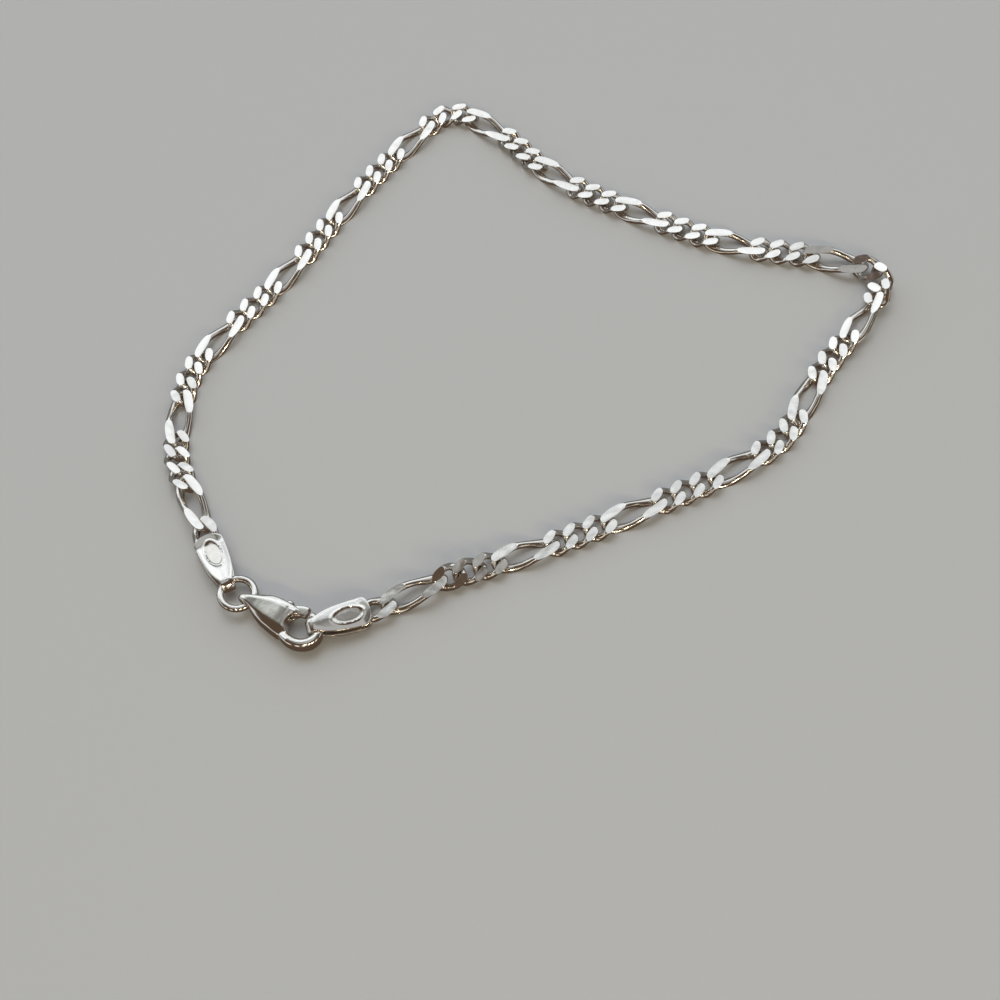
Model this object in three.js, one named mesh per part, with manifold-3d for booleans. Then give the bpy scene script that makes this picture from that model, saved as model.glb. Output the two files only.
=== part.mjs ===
// Figaro chain bracelet in polished silver, lying flat as a closed loop.
// Millimetres, +Z up, the surface it lies on at z = 0.
//
// Seventeen long links alternate with groups of three short links. Every link is an oval of
// round wire, twisted about the chain's axis and cut flat above and below. At each end a
// folded strip holds the last short link. One strip folds round a jump ring in the eye of the
// claw clasp, and the other round the clasp's hook.

import * as THREE from 'three';
import { mergeVertices } from 'three/addons/utils/BufferGeometryUtils.js';
import Module from 'manifold-3d';

const wasm = await Module();
wasm.setup();

const degrees = THREE.MathUtils.degToRad;
const SLIVER = 0.01;          // edges shorter than this are cleared after pieces are joined

// ---- Driving dimensions ---------------------------------------------------------------

const WIRE = 0.68;            // diameter of the chain wire
const CHAIN_WIDTH = 2.6;      // across a link, outside
const FLAT_CUT = 0.5;         // height of the cut faces above and below a link's middle
const TWIST = degrees(46);    // turn of a link's end against its middle

const SHORT_PITCH = 2.0;      // a short link's share of the chain's length
const LONG_PITCH = 5.2;
const SHORT_OVERLAP = 0.1;    // the three short links of a group are joined where they touch
const LONG_GAP = 0.1;         // running gap between a long link and its neighbours when taut
const SHORT_ROUNDNESS = 2.6;  // exponent of the oval: 2 is an ellipse
const LONG_ROUNDNESS = 3.0;

const WIRE_SIDES = 6;
const SHORT_STEPS = 14;
const LONG_STEPS = 18;

const RING_RADIUS = 1.6;      // jump ring, to the middle of its wire
const RING_WIRE = 0.7;
const RING_SIDES = 8;
const RING_STEPS = 20;

const STRIP = 0.3;            // thickness of the folded end tags
const FOLD_RADIUS = 0.76;     // middle of the strip round the ring or the hook that it holds
const TAG_LENGTH = 5.3;       // from the middle of that fold to the wide end
const TAG_NARROW = 1.2;
const TAG_WIDE = 2.8;
const TAG_MOUTH = 0.42;       // middle of each strip from the tag's middle at the wide end
const TAG_LIP = 0.3;          // length of the eased corners at the wide end
const TAG_LIP_TAPER = 0.8;    // width left at the very end of the lip
const TAG_FOLD_END = 0.25;    // where the round of the fold runs out into the flat strips
const FOLD_STEPS = 6;

// ---- Route of the chain ----------------------------------------------------------------
// One row for each long link, at its middle, and for each bend between two of them. roll is
// the turn about the chain's own direction, and lift raises a link off the surface.

const ROUTE = [
    { link: 'end', x: -18.2, y: -28.9, roll: 2, lift: 0.25 },
    { link: 'long', x: -14.75, y: -28.15, roll: 8, lift: 0.05 },
    { link: 'bend', x: -10.6, y: -26.7, roll: 30, lift: 0 },
    { link: 'long', x: -3.9, y: -26.1, roll: 6, lift: 0 },
    { link: 'long', x: 6.9, y: -23.9, roll: 0, lift: 0 },
    { link: 'long', x: 17.7, y: -21.1, roll: 0, lift: 0 },
    { link: 'bend', x: 22.9, y: -18.6, roll: 0, lift: 0 },
    { link: 'long', x: 25.9, y: -14.9, roll: 0, lift: 0 },
    { link: 'bend', x: 29.5, y: -11.0, roll: -4, lift: 0 },
    { link: 'long', x: 33.75, y: -7.5, roll: -26, lift: 0 },
    { link: 'bend', x: 36.8, y: -2.9, roll: -36, lift: 0 },
    { link: 'long', x: 32.95, y: 0.15, roll: -22, lift: 0 },
    { link: 'long', x: 23.5, y: 4.6, roll: 0, lift: 0 },
    { link: 'long', x: 15.0, y: 10.8, roll: 0, lift: 0 },
    { link: 'long', x: 7.0, y: 17.9, roll: 0, lift: 0 },
    { link: 'long', x: 1.1, y: 26.8, roll: 0, lift: 0 },
    { link: 'bend', x: -3.0, y: 29.75, roll: 0, lift: 0 },
    { link: 'long', x: -7.7, y: 26.8, roll: 0, lift: 0 },
    { link: 'long', x: -15.7, y: 19.7, roll: 0, lift: 0 },
    { link: 'long', x: -23.0, y: 11.8, roll: 0, lift: 0 },
    { link: 'long', x: -31.0, y: 4.9, roll: 0, lift: 0 },
    { link: 'bend', x: -34.4, y: 1.0, roll: 0, lift: 0 },
    { link: 'long', x: -35.8, y: -4.2, roll: -12, lift: 0 },
    { link: 'bend', x: -36.25, y: -9.3, roll: -24, lift: 0 },
    { link: 'long', x: -34.75, y: -14.4, roll: -16, lift: 0.1 },
    { link: 'end', x: -33.95, y: -17.85, roll: -6, lift: 0.35 },
];

// ---- Finishes ---------------------------------------------------------------------------

const silver = new THREE.MeshStandardMaterial({ color: 0xd9d6d0, metalness: 1, roughness: 0.16 });
const claspSilver = new THREE.MeshStandardMaterial({ color: 0xcfccc5, metalness: 1, roughness: 0.2 });

// ---- Building blocks ----------------------------------------------------------------------

// A skin over rings of points. A closed loft joins its last ring to its first, and an open
// one is closed with a fan over each end.
function loft(rings, closed) {
    const sides = rings[0].length;
    const positions = rings.flat().flatMap((point) => point.toArray());
    const triangles = [];
    const spans = closed ? rings.length : rings.length - 1;
    for (let i = 0; i < spans; i++) {
        const here = i * sides;
        const next = ((i + 1) % rings.length) * sides;
        for (let j = 0; j < sides; j++) {
            const k = (j + 1) % sides;
            triangles.push(here + j, next + k, next + j, here + j, here + k, next + k);
        }
    }
    if (!closed) {
        const last = (rings.length - 1) * sides;
        for (let j = 1; j < sides - 1; j++) {
            triangles.push(0, j + 1, j, last, last + j, last + j + 1);
        }
    }
    const geometry = new THREE.BufferGeometry();
    geometry.setAttribute('position', new THREE.Float32BufferAttribute(positions, 3));
    geometry.setIndex(triangles);
    return geometry;
}

// An ellipse of points about a centre, from the across axis towards the up axis.
function ellipse(centre, across, up, halfAcross, halfUp, sides) {
    return Array.from({ length: sides }, (_, j) => {
        const angle = (2 * Math.PI * j) / sides;
        return centre.clone()
            .addScaledVector(across, halfAcross * Math.cos(angle))
            .addScaledVector(up, halfUp * Math.sin(angle));
    });
}

function toSolid(geometry) {
    const bare = geometry.clone();
    bare.deleteAttribute('normal');
    bare.deleteAttribute('uv');
    const merged = mergeVertices(bare, 1e-5);
    return new wasm.Manifold(new wasm.Mesh({
        numProp: 3,
        vertProperties: new Float32Array(merged.attributes.position.array),
        triVerts: new Uint32Array(merged.index.array),
    }));
}

function toGeometry(solid) {
    const mesh = solid.getMesh();
    const geometry = new THREE.BufferGeometry();
    geometry.setAttribute('position', new THREE.BufferAttribute(mesh.vertProperties, 3));
    geometry.setIndex(new THREE.BufferAttribute(mesh.triVerts, 1));
    return geometry;
}

// The right-handed frame of a piece at a place: x along it, y across it and z its upper side,
// rolled about x.
function frameAt(place, along, roll) {
    const x = along.clone().normalize();
    const y = new THREE.Vector3(0, 0, 1).cross(x).normalize();
    const z = x.clone().cross(y);
    return new THREE.Matrix4().makeBasis(x, y, z)
        .multiply(new THREE.Matrix4().makeRotationX(roll))
        .setPosition(place);
}

const bracelet = new THREE.Group();

function addPiece(name, geometry, frame, material) {
    const mesh = new THREE.Mesh(geometry, material);
    mesh.name = name;
    mesh.applyMatrix4(frame);
    bracelet.add(mesh);
    return mesh;
}

// ---- Chain links --------------------------------------------------------------------------

const HALF_WIDTH = (CHAIN_WIDTH - WIRE) / 2;
const SHORT_HALF = (SHORT_PITCH + WIRE - SHORT_OVERLAP) / 2;
const LONG_HALF = (LONG_PITCH + WIRE + SHORT_OVERLAP) / 2 + LONG_GAP;

// One link along x. Its middle line is a superellipse; the turn about x runs from startTwist
// at its low end to endTwist at its high end, and whatever then stands above or below the
// flat cut is pressed onto it.
function linkGeometry(halfLength, roundness, steps, startTwist, endTwist) {
    const power = 2 / roundness;
    const rings = [];
    for (let i = 0; i < steps; i++) {
        const angle = (2 * Math.PI * (i + 0.5)) / steps;
        const c = Math.cos(angle);
        const s = Math.sin(angle);
        const centre = new THREE.Vector3(
            halfLength * Math.sign(c) * Math.abs(c) ** power,
            HALF_WIDTH * Math.sign(s) * Math.abs(s) ** power, 0);
        const outward = new THREE.Vector3(
            Math.sign(c) * Math.abs(c) ** (2 - power) / halfLength,
            Math.sign(s) * Math.abs(s) ** (2 - power) / HALF_WIDTH, 0).normalize();
        const down = new THREE.Vector3(0, 0, -1);
        const ring = ellipse(centre, outward, down, WIRE / 2, WIRE / 2, WIRE_SIDES);
        for (const point of ring) {
            const share = THREE.MathUtils.clamp(point.x / halfLength, -1, 1);
            const blend = (1 + Math.sin(share * Math.PI / 2)) / 2;
            const twist = THREE.MathUtils.lerp(startTwist, endTwist, blend);
            point.applyAxisAngle(new THREE.Vector3(1, 0, 0), twist);
            point.z = THREE.MathUtils.clamp(point.z, -FLAT_CUT, FLAT_CUT);
        }
        rings.push(ring);
    }
    return loft(rings, true);
}

const longLink = linkGeometry(LONG_HALF, LONG_ROUNDNESS, LONG_STEPS, TWIST, -TWIST);
const shortLink = linkGeometry(SHORT_HALF, SHORT_ROUNDNESS, SHORT_STEPS, TWIST, -TWIST);

// ---- The route as a curve -------------------------------------------------------------------

// Height of a link's middle when its lowest edge touches the surface.
function restHeight(roll) {
    return FLAT_CUT * Math.abs(Math.cos(roll)) + (CHAIN_WIDTH / 2) * Math.abs(Math.sin(roll));
}

const curve = new THREE.CatmullRomCurve3(
    ROUTE.map((row) => new THREE.Vector3(row.x, row.y, 0)), false, 'centripetal');
const STEPS_PER_ROW = 100;
curve.arcLengthDivisions = STEPS_PER_ROW * (ROUTE.length - 1);
const lengths = curve.getLengths();
const routeLength = lengths[lengths.length - 1];
const rowPlace = ROUTE.map((row, i) => lengths[i * STEPS_PER_ROW]);

// A column of the route table at a place along the curve, in between its rows.
function columnAt(column, place) {
    let i = 1;
    while (i < ROUTE.length - 1 && rowPlace[i] < place) {
        i += 1;
    }
    const share = (place - rowPlace[i - 1]) / (rowPlace[i] - rowPlace[i - 1]);
    return THREE.MathUtils.lerp(ROUTE[i - 1][column], ROUTE[i][column], share);
}

function pointAt(place) {
    const inside = THREE.MathUtils.clamp(place, 0, routeLength);
    const beyond = curve.getTangentAt(inside / routeLength).multiplyScalar(place - inside);
    const point = curve.getPointAt(inside / routeLength).add(beyond);
    return point.setZ(restHeight(degrees(columnAt('roll', inside))) + columnAt('lift', inside));
}

// The frame of a link whose middle is at a place along the route.
function linkFrame(place, pitch) {
    const start = pointAt(place - pitch / 2);
    const end = pointAt(place + pitch / 2);
    const middle = start.clone().add(end).multiplyScalar(0.5);
    return frameAt(middle, end.sub(start), degrees(columnAt('roll', place)));
}

const longPlaces = rowPlace.filter((place, i) => ROUTE[i].link === 'long');

longPlaces.forEach((place, i) => {
    addPiece(`long_link_${String(i + 1).padStart(2, '0')}`, longLink, linkFrame(place, LONG_PITCH), silver);
});

for (let i = 0; i < longPlaces.length - 1; i++) {
    const middle = (longPlaces[i] + longPlaces[i + 1]) / 2;
    const home = linkFrame(middle, SHORT_PITCH);
    const back = home.clone().invert();
    const links = [-1, 0, 1].map((step) => toSolid(shortLink.clone().applyMatrix4(
        back.clone().multiply(linkFrame(middle + step * SHORT_PITCH, SHORT_PITCH)))));
    const group = links[0].add(links[1]).add(links[2]).simplify(SLIVER);
    addPiece(`short_links_${String(i + 1).padStart(2, '0')}`, toGeometry(group), home, silver);
}

// ---- Clasp ---------------------------------------------------------------------------------
// The clasp's own frame: x from its tail to its head, y across it towards the lever, and z
// through its thickness. It lies on its flat side, tipped a little towards its hook.

const CLASP_PLACE = new THREE.Vector3(-30.8, -25.65, 1.06);
const CLASP_HEADING = degrees(-38);
const CLASP_RISE = degrees(0.5);
const CLASP_ROLL = degrees(4);

const EYE_AT = 0.5;           // middle of the tail's eye, which stands across the clasp's plane
const EYE_RADIUS = 0.76;      // to the middle of the metal round it
const EYE_TUBE = 0.24;
const EYE_DEPTH = 1.2;        // the metal round the eye is this much wider than it is thick
const MOUTH_AT = 6.5;         // middle of the oval mouth
const MOUTH_LENGTH = 2.8;
const MOUTH_WIDTH = 2.1;
const ARM_REACH = 1.9;        // hook and lever, from the mouth's middle to their middle line, ahead
const ARM_SPREAD = 1.55;      // and to the side
const PIVOT = new THREE.Vector3(4.55, 1.1, 0);
const PIN_RADIUS = 0.22;
const LEVER_HALF_THICKNESS = 0.36;
const LEVER_ROOT_RADIUS = 0.52;
const LEVER_ROOT_ANGLE = 146; // where the lever's arm meets its root, counted round the mouth
const LEVER_TIP_ANGLE = 93;
const SIDE_CLEARANCE = 0.1;   // beside the lever in its slot
const SLOT_RADIUS = 0.7;      // round the lever's root
const PIN_CLEARANCE = 0.06;
const HOOK_START_ANGLE = -140;
const NOSE_ANGLE = 84;        // where the hook's nose ends, counted round the mouth
const TAG_ANGLE = 40;         // where the hook holds the end tag
const THROUGH = 3;            // length of a cut that passes right through the body

const claspFrame = frameAt(
    CLASP_PLACE,
    new THREE.Vector3(Math.cos(CLASP_HEADING), Math.sin(CLASP_HEADING), Math.tan(CLASP_RISE)),
    CLASP_ROLL);

// A point on the middle line of the hook and the lever, an oval round the mouth.
function aroundMouth(angle) {
    return new THREE.Vector3(
        MOUTH_AT + ARM_REACH * Math.cos(degrees(angle)), ARM_SPREAD * Math.sin(degrees(angle)), 0);
}

// Rings of points along that oval, each an ellipse across the arm.
function ovalArm(fromAngle, toAngle, steps, halfAcrossAt, halfUpAt, sides) {
    return Array.from({ length: steps + 1 }, (_, i) => {
        const share = i / steps;
        const angle = THREE.MathUtils.lerp(fromAngle, toAngle, share);
        const outward = new THREE.Vector3(
            ARM_SPREAD * Math.cos(degrees(angle)), ARM_REACH * Math.sin(degrees(angle)), 0).normalize();
        const down = new THREE.Vector3(0, 0, -1);
        return ellipse(aroundMouth(angle), outward, down, halfAcrossAt(share), halfUpAt(share), sides);
    });
}

// A round bar along z, such as a pin or the tool that cuts a hole.
function bar(radius, length, sides, place) {
    const geometry = new THREE.CylinderGeometry(radius, radius, length, sides);
    geometry.rotateX(Math.PI / 2);
    geometry.translate(place.x, place.y, place.z);
    return toSolid(geometry);
}

// Sections of the clasp's body along x: half its width and half its depth.
const BODY = [
    { x: 1.06, halfWidth: 0.45, halfDepth: 0.42 },
    { x: 1.6, halfWidth: 0.9, halfDepth: 0.54 },
    { x: 2.3, halfWidth: 1.3, halfDepth: 0.7 },
    { x: 3.2, halfWidth: 1.62, halfDepth: 0.85 },
    { x: 4.2, halfWidth: 1.78, halfDepth: 0.92 },
    { x: 5.3, halfWidth: 1.9, halfDepth: 0.9 },
];

function claspBody() {
    const across = new THREE.Vector3(0, 1, 0);
    const up = new THREE.Vector3(0, 0, 1);
    const blade = toSolid(loft(BODY.map((row) => ellipse(
        new THREE.Vector3(row.x, 0, 0), across, up, row.halfWidth, row.halfDepth, 12)), false));
    const mouth = new THREE.CylinderGeometry(0.5, 0.5, THROUGH, 20);
    mouth.rotateX(Math.PI / 2);
    mouth.scale(MOUTH_LENGTH, MOUTH_WIDTH, 1);
    mouth.translate(MOUTH_AT, 0, 0);
    const eye = new THREE.TorusGeometry(EYE_RADIUS, EYE_TUBE, 6, 14);
    eye.rotateX(Math.PI / 2);
    eye.scale(1, EYE_DEPTH, 1);
    eye.translate(EYE_AT, 0, 0);
    const pin = bar(PIN_RADIUS, 1.3, 12, PIVOT);
    return blade.subtract(toSolid(mouth)).add(toSolid(eye)).add(claspHook()).subtract(leverSlot()).add(pin);
}

// The fixed hook, slimmer where it passes through the end tag.
function claspHook() {
    return toSolid(loft(ovalArm(
        HOOK_START_ANGLE, NOSE_ANGLE, 16,
        (share) => THREE.MathUtils.lerp(0.52, 0.33, share),
        (share) => THREE.MathUtils.lerp(0.92, 0.3, share), 10), false));
}

// The room in the body that the lever's root turns in, open to the mouth and the lever side.
function leverSlot() {
    const back = 3.85;
    const outside = 2.4;
    const outline = new THREE.Shape();
    outline.moveTo(back, outside);
    outline.lineTo(back, PIVOT.y - 0.1);
    outline.absarc(PIVOT.x, PIVOT.y, SLOT_RADIUS, degrees(195), degrees(285), false);
    outline.lineTo(MOUTH_AT - 1.1, -0.1);
    outline.lineTo(MOUTH_AT - 0.7, outside);
    const depth = 2 * (LEVER_HALF_THICKNESS + SIDE_CLEARANCE);
    const geometry = new THREE.ExtrudeGeometry(outline, { depth, bevelEnabled: false, curveSegments: 6 });
    geometry.translate(0, 0, -depth / 2);
    return toSolid(geometry);
}

// The sprung lever: an arm that closes the mouth, a root round the pin and a tab for the thumb.
function claspLever() {
    const arm = toSolid(loft(ovalArm(
        LEVER_TIP_ANGLE, LEVER_ROOT_ANGLE, 6,
        (share) => THREE.MathUtils.lerp(0.34, 0.42, share),
        () => LEVER_HALF_THICKNESS, 8), false));
    const root = bar(LEVER_ROOT_RADIUS, 2 * LEVER_HALF_THICKNESS, 16, PIVOT);
    const tab = new THREE.BoxGeometry(0.4, 0.7, 2 * LEVER_HALF_THICKNESS - PIN_CLEARANCE);
    tab.rotateZ(degrees(8));
    tab.translate(PIVOT.x - 0.1, PIVOT.y + 0.65, 0);
    const hole = bar(PIN_RADIUS + PIN_CLEARANCE, THROUGH, 12, PIVOT);
    return arm.add(root).add(toSolid(tab)).subtract(hole);
}

addPiece('clasp_body', toGeometry(claspBody()), claspFrame, claspSilver);
addPiece('clasp_lever', toGeometry(claspLever()), claspFrame, claspSilver);

// ---- Jump ring -------------------------------------------------------------------------------
// One ring joins the clasp's eye to an end tag. The other end tag folds round the clasp's hook.

const jumpRing = new THREE.TorusGeometry(RING_RADIUS, RING_WIRE / 2, RING_SIDES, RING_STEPS);

// A ring's frame, from the point on its wire that the clasp's eye holds: x runs from its
// middle to that point.
function ringFrame(held, heading, rise, roll) {
    const along = new THREE.Vector3(Math.cos(heading), Math.sin(heading), Math.tan(rise)).normalize();
    return frameAt(held.clone().addScaledVector(along, -RING_RADIUS), along, roll);
}

const heldInEye = new THREE.Vector3(EYE_AT, 0, 0).applyMatrix4(claspFrame);
const tailRing = ringFrame(heldInEye, degrees(-50), degrees(-2), degrees(-8));

addPiece('jump_ring', jumpRing, tailRing, silver);

// ---- End tags ----------------------------------------------------------------------------------

// One folded strip: x runs from the middle of its fold to the wide end.
function tagGeometry() {
    const flat = [TAG_LENGTH, TAG_LENGTH - TAG_LIP, TAG_LENGTH / 2, TAG_FOLD_END];
    const plate = (x, side) => {
        const share = x / TAG_LENGTH;
        const taper = share < 1 ? 1 : TAG_LIP_TAPER;
        return {
            x,
            z: side * THREE.MathUtils.lerp(FOLD_RADIUS, TAG_MOUTH, share),
            lean: side * Math.PI / 2,
            halfWidth: (taper / 2) * THREE.MathUtils.lerp(TAG_NARROW, TAG_WIDE, share),
        };
    };
    const stations = flat.map((x) => plate(x, 1));
    for (let i = 1; i < FOLD_STEPS; i++) {
        const lean = Math.PI / 2 + (Math.PI * i) / FOLD_STEPS;
        const x = FOLD_RADIUS * Math.cos(lean);
        const z = FOLD_RADIUS * Math.sin(lean);
        stations.push({ x, z, lean, halfWidth: TAG_NARROW / 2 });
    }
    stations.push(...flat.reverse().map((x) => plate(x, -1)));
    const corners = [[1, 1], [-1, 1], [-1, -1], [1, -1]];
    return loft(stations.map((row) => corners.map(([out, across]) => new THREE.Vector3(
        row.x + out * (STRIP / 2) * Math.cos(row.lean),
        across * row.halfWidth,
        row.z + out * (STRIP / 2) * Math.sin(row.lean)))), false);
}

// The frame of a tag whose fold lies across a wire at a point that it holds, and which pulls
// towards an end link. The wire runs round a middle, in a plane with a given normal.
function tagFrame(held, middle, normal, linkEnd) {
    const x = linkEnd.clone().sub(held).normalize();
    const y = normal.clone().cross(held.clone().sub(middle)).normalize();
    y.addScaledVector(x, -y.dot(x)).normalize();
    const z = x.clone().cross(y);
    if (z.z < 0) {
        z.negate();
        y.negate();
    }
    return new THREE.Matrix4().makeBasis(x, y, z).setPosition(held);
}

function addTag(name, frame, endPlace, startTwist, endTwist) {
    const link = linkGeometry(SHORT_HALF, SHORT_ROUNDNESS, SHORT_STEPS, startTwist, endTwist);
    link.applyMatrix4(frame.clone().invert().multiply(linkFrame(endPlace, SHORT_PITCH)));
    addPiece(name, toGeometry(toSolid(tagGeometry()).add(toSolid(link)).simplify(SLIVER)), frame, silver);
}

// Tag a folds round the jump ring, at the point of the ring that is nearest to its end link.
const ringMiddle = new THREE.Vector3().setFromMatrixPosition(tailRing);
const tailLinkEnd = pointAt(routeLength + SHORT_PITCH / 2);
const heldInTag = tailLinkEnd.clone().applyMatrix4(tailRing.clone().invert());
heldInTag.setZ(0).setLength(RING_RADIUS).applyMatrix4(tailRing);
const ringNormal = new THREE.Vector3().setFromMatrixColumn(tailRing, 2);
addTag('end_tag_a', tagFrame(heldInTag, ringMiddle, ringNormal, tailLinkEnd), routeLength, TWIST, 0);

// Tag b folds round the clasp's hook.
const heldOnHook = aroundMouth(TAG_ANGLE).applyMatrix4(claspFrame);
const mouthMiddle = new THREE.Vector3(MOUTH_AT, 0, 0).applyMatrix4(claspFrame);
const claspNormal = new THREE.Vector3().setFromMatrixColumn(claspFrame, 2);
const hookTag = tagFrame(heldOnHook, mouthMiddle, claspNormal, pointAt(-SHORT_PITCH / 2));
addTag('end_tag_b', hookTag, 0, 0, -TWIST);

// The finished piece stands on the surface, with the middle of its box over the origin.
bracelet.updateMatrixWorld(true);
const extent = new THREE.Box3().setFromObject(bracelet, true);
const middle = extent.getCenter(new THREE.Vector3());
for (const mesh of bracelet.children) {
    mesh.position.sub(new THREE.Vector3(middle.x, middle.y, extent.min.z));
}

export default bracelet;
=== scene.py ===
"""Looks of a slim silver figaro bracelet that lies in a loop, closed by a claw clasp.

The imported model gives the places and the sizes. Every piece here is a surface worked out in
millimetres, in the same frame, and is turned into metres when it becomes a mesh.
"""

from __future__ import annotations

import logging
import math
from collections.abc import Callable
from dataclasses import dataclass, field, replace
from enum import Enum
from typing import Any

import bpy
import numpy as np
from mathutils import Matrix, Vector

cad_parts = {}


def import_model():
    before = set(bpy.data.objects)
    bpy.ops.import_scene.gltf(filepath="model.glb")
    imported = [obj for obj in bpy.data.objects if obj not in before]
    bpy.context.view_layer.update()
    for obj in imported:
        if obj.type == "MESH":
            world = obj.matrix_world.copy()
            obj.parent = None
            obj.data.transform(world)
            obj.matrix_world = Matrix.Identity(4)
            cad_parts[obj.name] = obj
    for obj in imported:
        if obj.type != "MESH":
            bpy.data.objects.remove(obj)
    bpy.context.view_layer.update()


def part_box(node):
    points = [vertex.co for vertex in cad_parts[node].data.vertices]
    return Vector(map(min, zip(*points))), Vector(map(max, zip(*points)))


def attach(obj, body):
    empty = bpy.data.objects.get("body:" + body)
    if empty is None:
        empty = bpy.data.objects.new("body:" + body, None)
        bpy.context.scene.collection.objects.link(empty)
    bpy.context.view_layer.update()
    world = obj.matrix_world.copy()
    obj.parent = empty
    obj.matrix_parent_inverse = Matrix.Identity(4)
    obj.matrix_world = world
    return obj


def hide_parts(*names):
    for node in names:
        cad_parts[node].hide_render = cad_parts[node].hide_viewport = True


LOG = logging.getLogger("bracelet")
MM = 0.001
ANCHOR = 13  # the long link whose packed box says where the route lies
FULL_TURN = 2 * math.pi
Array = np.ndarray
Colour = tuple[float, float, float, float]
Point = tuple[float, float, float]
Table = tuple[tuple[float, ...], tuple[float, ...]]


def unit(vector: Array) -> Array:
    """The vector, or each row of an array of them, at length 1."""
    return vector / np.linalg.norm(vector, axis=-1, keepdims=True)


def signed_power(value: Array, power: float) -> Array:
    """|value| to a power, with the value's own sign."""
    return np.sign(value) * np.abs(value) ** power


def smooth(value: Array, low: float, high: float) -> Array:
    """0 below low, 1 above high, and an even S between them."""
    share = np.clip((value - low) / (high - low), 0.0, 1.0)
    return share * share * (3.0 - 2.0 * share)


def way(heading: float, rise: float) -> Array:
    """A direction, from its heading round the vertical and the angle at which it rises."""
    return unit(np.array([math.cos(heading), math.sin(heading), math.tan(rise)]))


def circle(count: int) -> Array:
    """Angles evenly spaced round a full turn, in radians."""
    return np.linspace(0, FULL_TURN, count, endpoint=False)


def bell(value: Array, middle: float, width: float) -> Array:
    """1 at the middle, falling on both sides as a normal curve of a width."""
    return np.exp(-(((value - middle) / width) ** 2))


def flowing(place: Array, table: Table, margin: int = 4) -> Array:
    """Values between stations, with the corners of the straight runs averaged away.

    Args:
        place: evenly spaced places.
        table: the stations and the value at each.
        margin: how many places on each side share in an average, the nearer ones most.

    Returns:
        A value for every place.
    """
    step = place[1] - place[0]
    before = place[0] - step * np.arange(margin, 0, -1)
    after = place[-1] + step * np.arange(1, margin + 1)
    raw = np.interp(np.concatenate([before, place, after]), *table)
    window = np.hanning(2 * margin + 3)[1:-1]
    return np.convolve(raw, window / window.sum(), "valid")


def rounded(corners: Array, cut: float, count: int) -> Array:
    """Closed outlines with every corner replaced by an arc.

    Args:
        corners: outlines, corners and two coordinates.
        cut: how far from the corner its arc starts, or less where a side is short.
        count: points on an arc, a quadratic curve towards the corner.

    Returns:
        The outlines with count points for every corner.
    """
    before = np.roll(corners, 1, axis=1) - corners
    after = np.roll(corners, -1, axis=1) - corners
    lengths = [np.linalg.norm(side, axis=-1, keepdims=True) for side in (before, after)]
    start, end = (
        (side / length * np.minimum(cut, 0.45 * length))[:, :, None]
        for side, length in zip((before, after), lengths)
    )
    share = np.linspace(0, 1, count)[:, None]
    arcs = corners[:, :, None] + start * (1 - share) ** 2 + end * share**2
    return arcs.reshape(len(corners), -1, 2)


# ---- Frames and meshes


@dataclass(frozen=True)
class Seat:
    """Where a piece sits: x runs along it, y across it and z is its upper side."""

    place: Array
    axes: Array

    @classmethod
    def along(cls, place: Array, direction: Array, roll: float) -> Seat:
        """A seat from a direction.

        Args:
            place: its origin, in millimetres.
            direction: where its x axis points.
            roll: its turn about x, in radians, from level.

        Returns:
            The seat.
        """
        x = unit(np.asarray(direction, float))
        y = unit(np.cross([0.0, 0.0, 1.0], x))
        z = np.cross(x, y)
        turned_y = y * math.cos(roll) + z * math.sin(roll)
        turned_z = z * math.cos(roll) - y * math.sin(roll)
        return cls(np.asarray(place, float), np.stack([x, turned_y, turned_z], axis=1))

    def out(self, points: Array) -> Array:
        """Points of the piece's own frame, in the bracelet's frame."""
        return points @ self.axes.T + self.place

    def into(self, points: Array) -> Array:
        """Points of the bracelet's frame, in the piece's own."""
        return (points - self.place) @ self.axes

    def at(self, x: float, y: float, z: float) -> Array:
        """One point of the piece's own frame, in the bracelet's frame."""
        return self.out(np.array([x, y, z], float))


@dataclass
class Shell:
    """One closed surface: points in millimetres, faces of four and three corners, and values.

    Values named in points hold one number a point, and those in faces one number a face.
    """

    points: Array
    quads: Array
    triangles: Array = field(default_factory=lambda: np.zeros((0, 3), int))
    point_values: dict[str, Array] = field(default_factory=dict)
    face_values: dict[str, Array] = field(default_factory=dict)

    def volume(self) -> float:
        """Six times the signed volume, which is positive when the faces point outwards."""
        faces = [self.quads[:, [0, 1, 2]], self.quads[:, [0, 2, 3]], self.triangles]
        corners = self.points[np.concatenate(faces)]
        return float(np.einsum("ij,ij->", corners[:, 0], np.cross(corners[:, 1], corners[:, 2])))

    def outward(self) -> Shell:
        """The shell itself, with its faces turned round if they pointed inwards."""
        if self.volume() < 0.0:
            self.quads = self.quads[:, ::-1]
            self.triangles = self.triangles[:, ::-1]
        return self

    def placed(self, seat: Seat) -> Shell:
        """The same shell, put into the bracelet's frame."""
        return replace(self, points=seat.out(self.points))

    def valued(self, hollow: Array) -> Shell:
        """The shell itself, with its points marked hollow for tarnish and painted shade, and none
        of its faces cut.
        """
        self.point_values["hollow"] = np.clip(hollow, 0, 1).ravel()
        self.face_values["cut"] = np.zeros(len(self.quads) + len(self.triangles))
        return self


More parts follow.
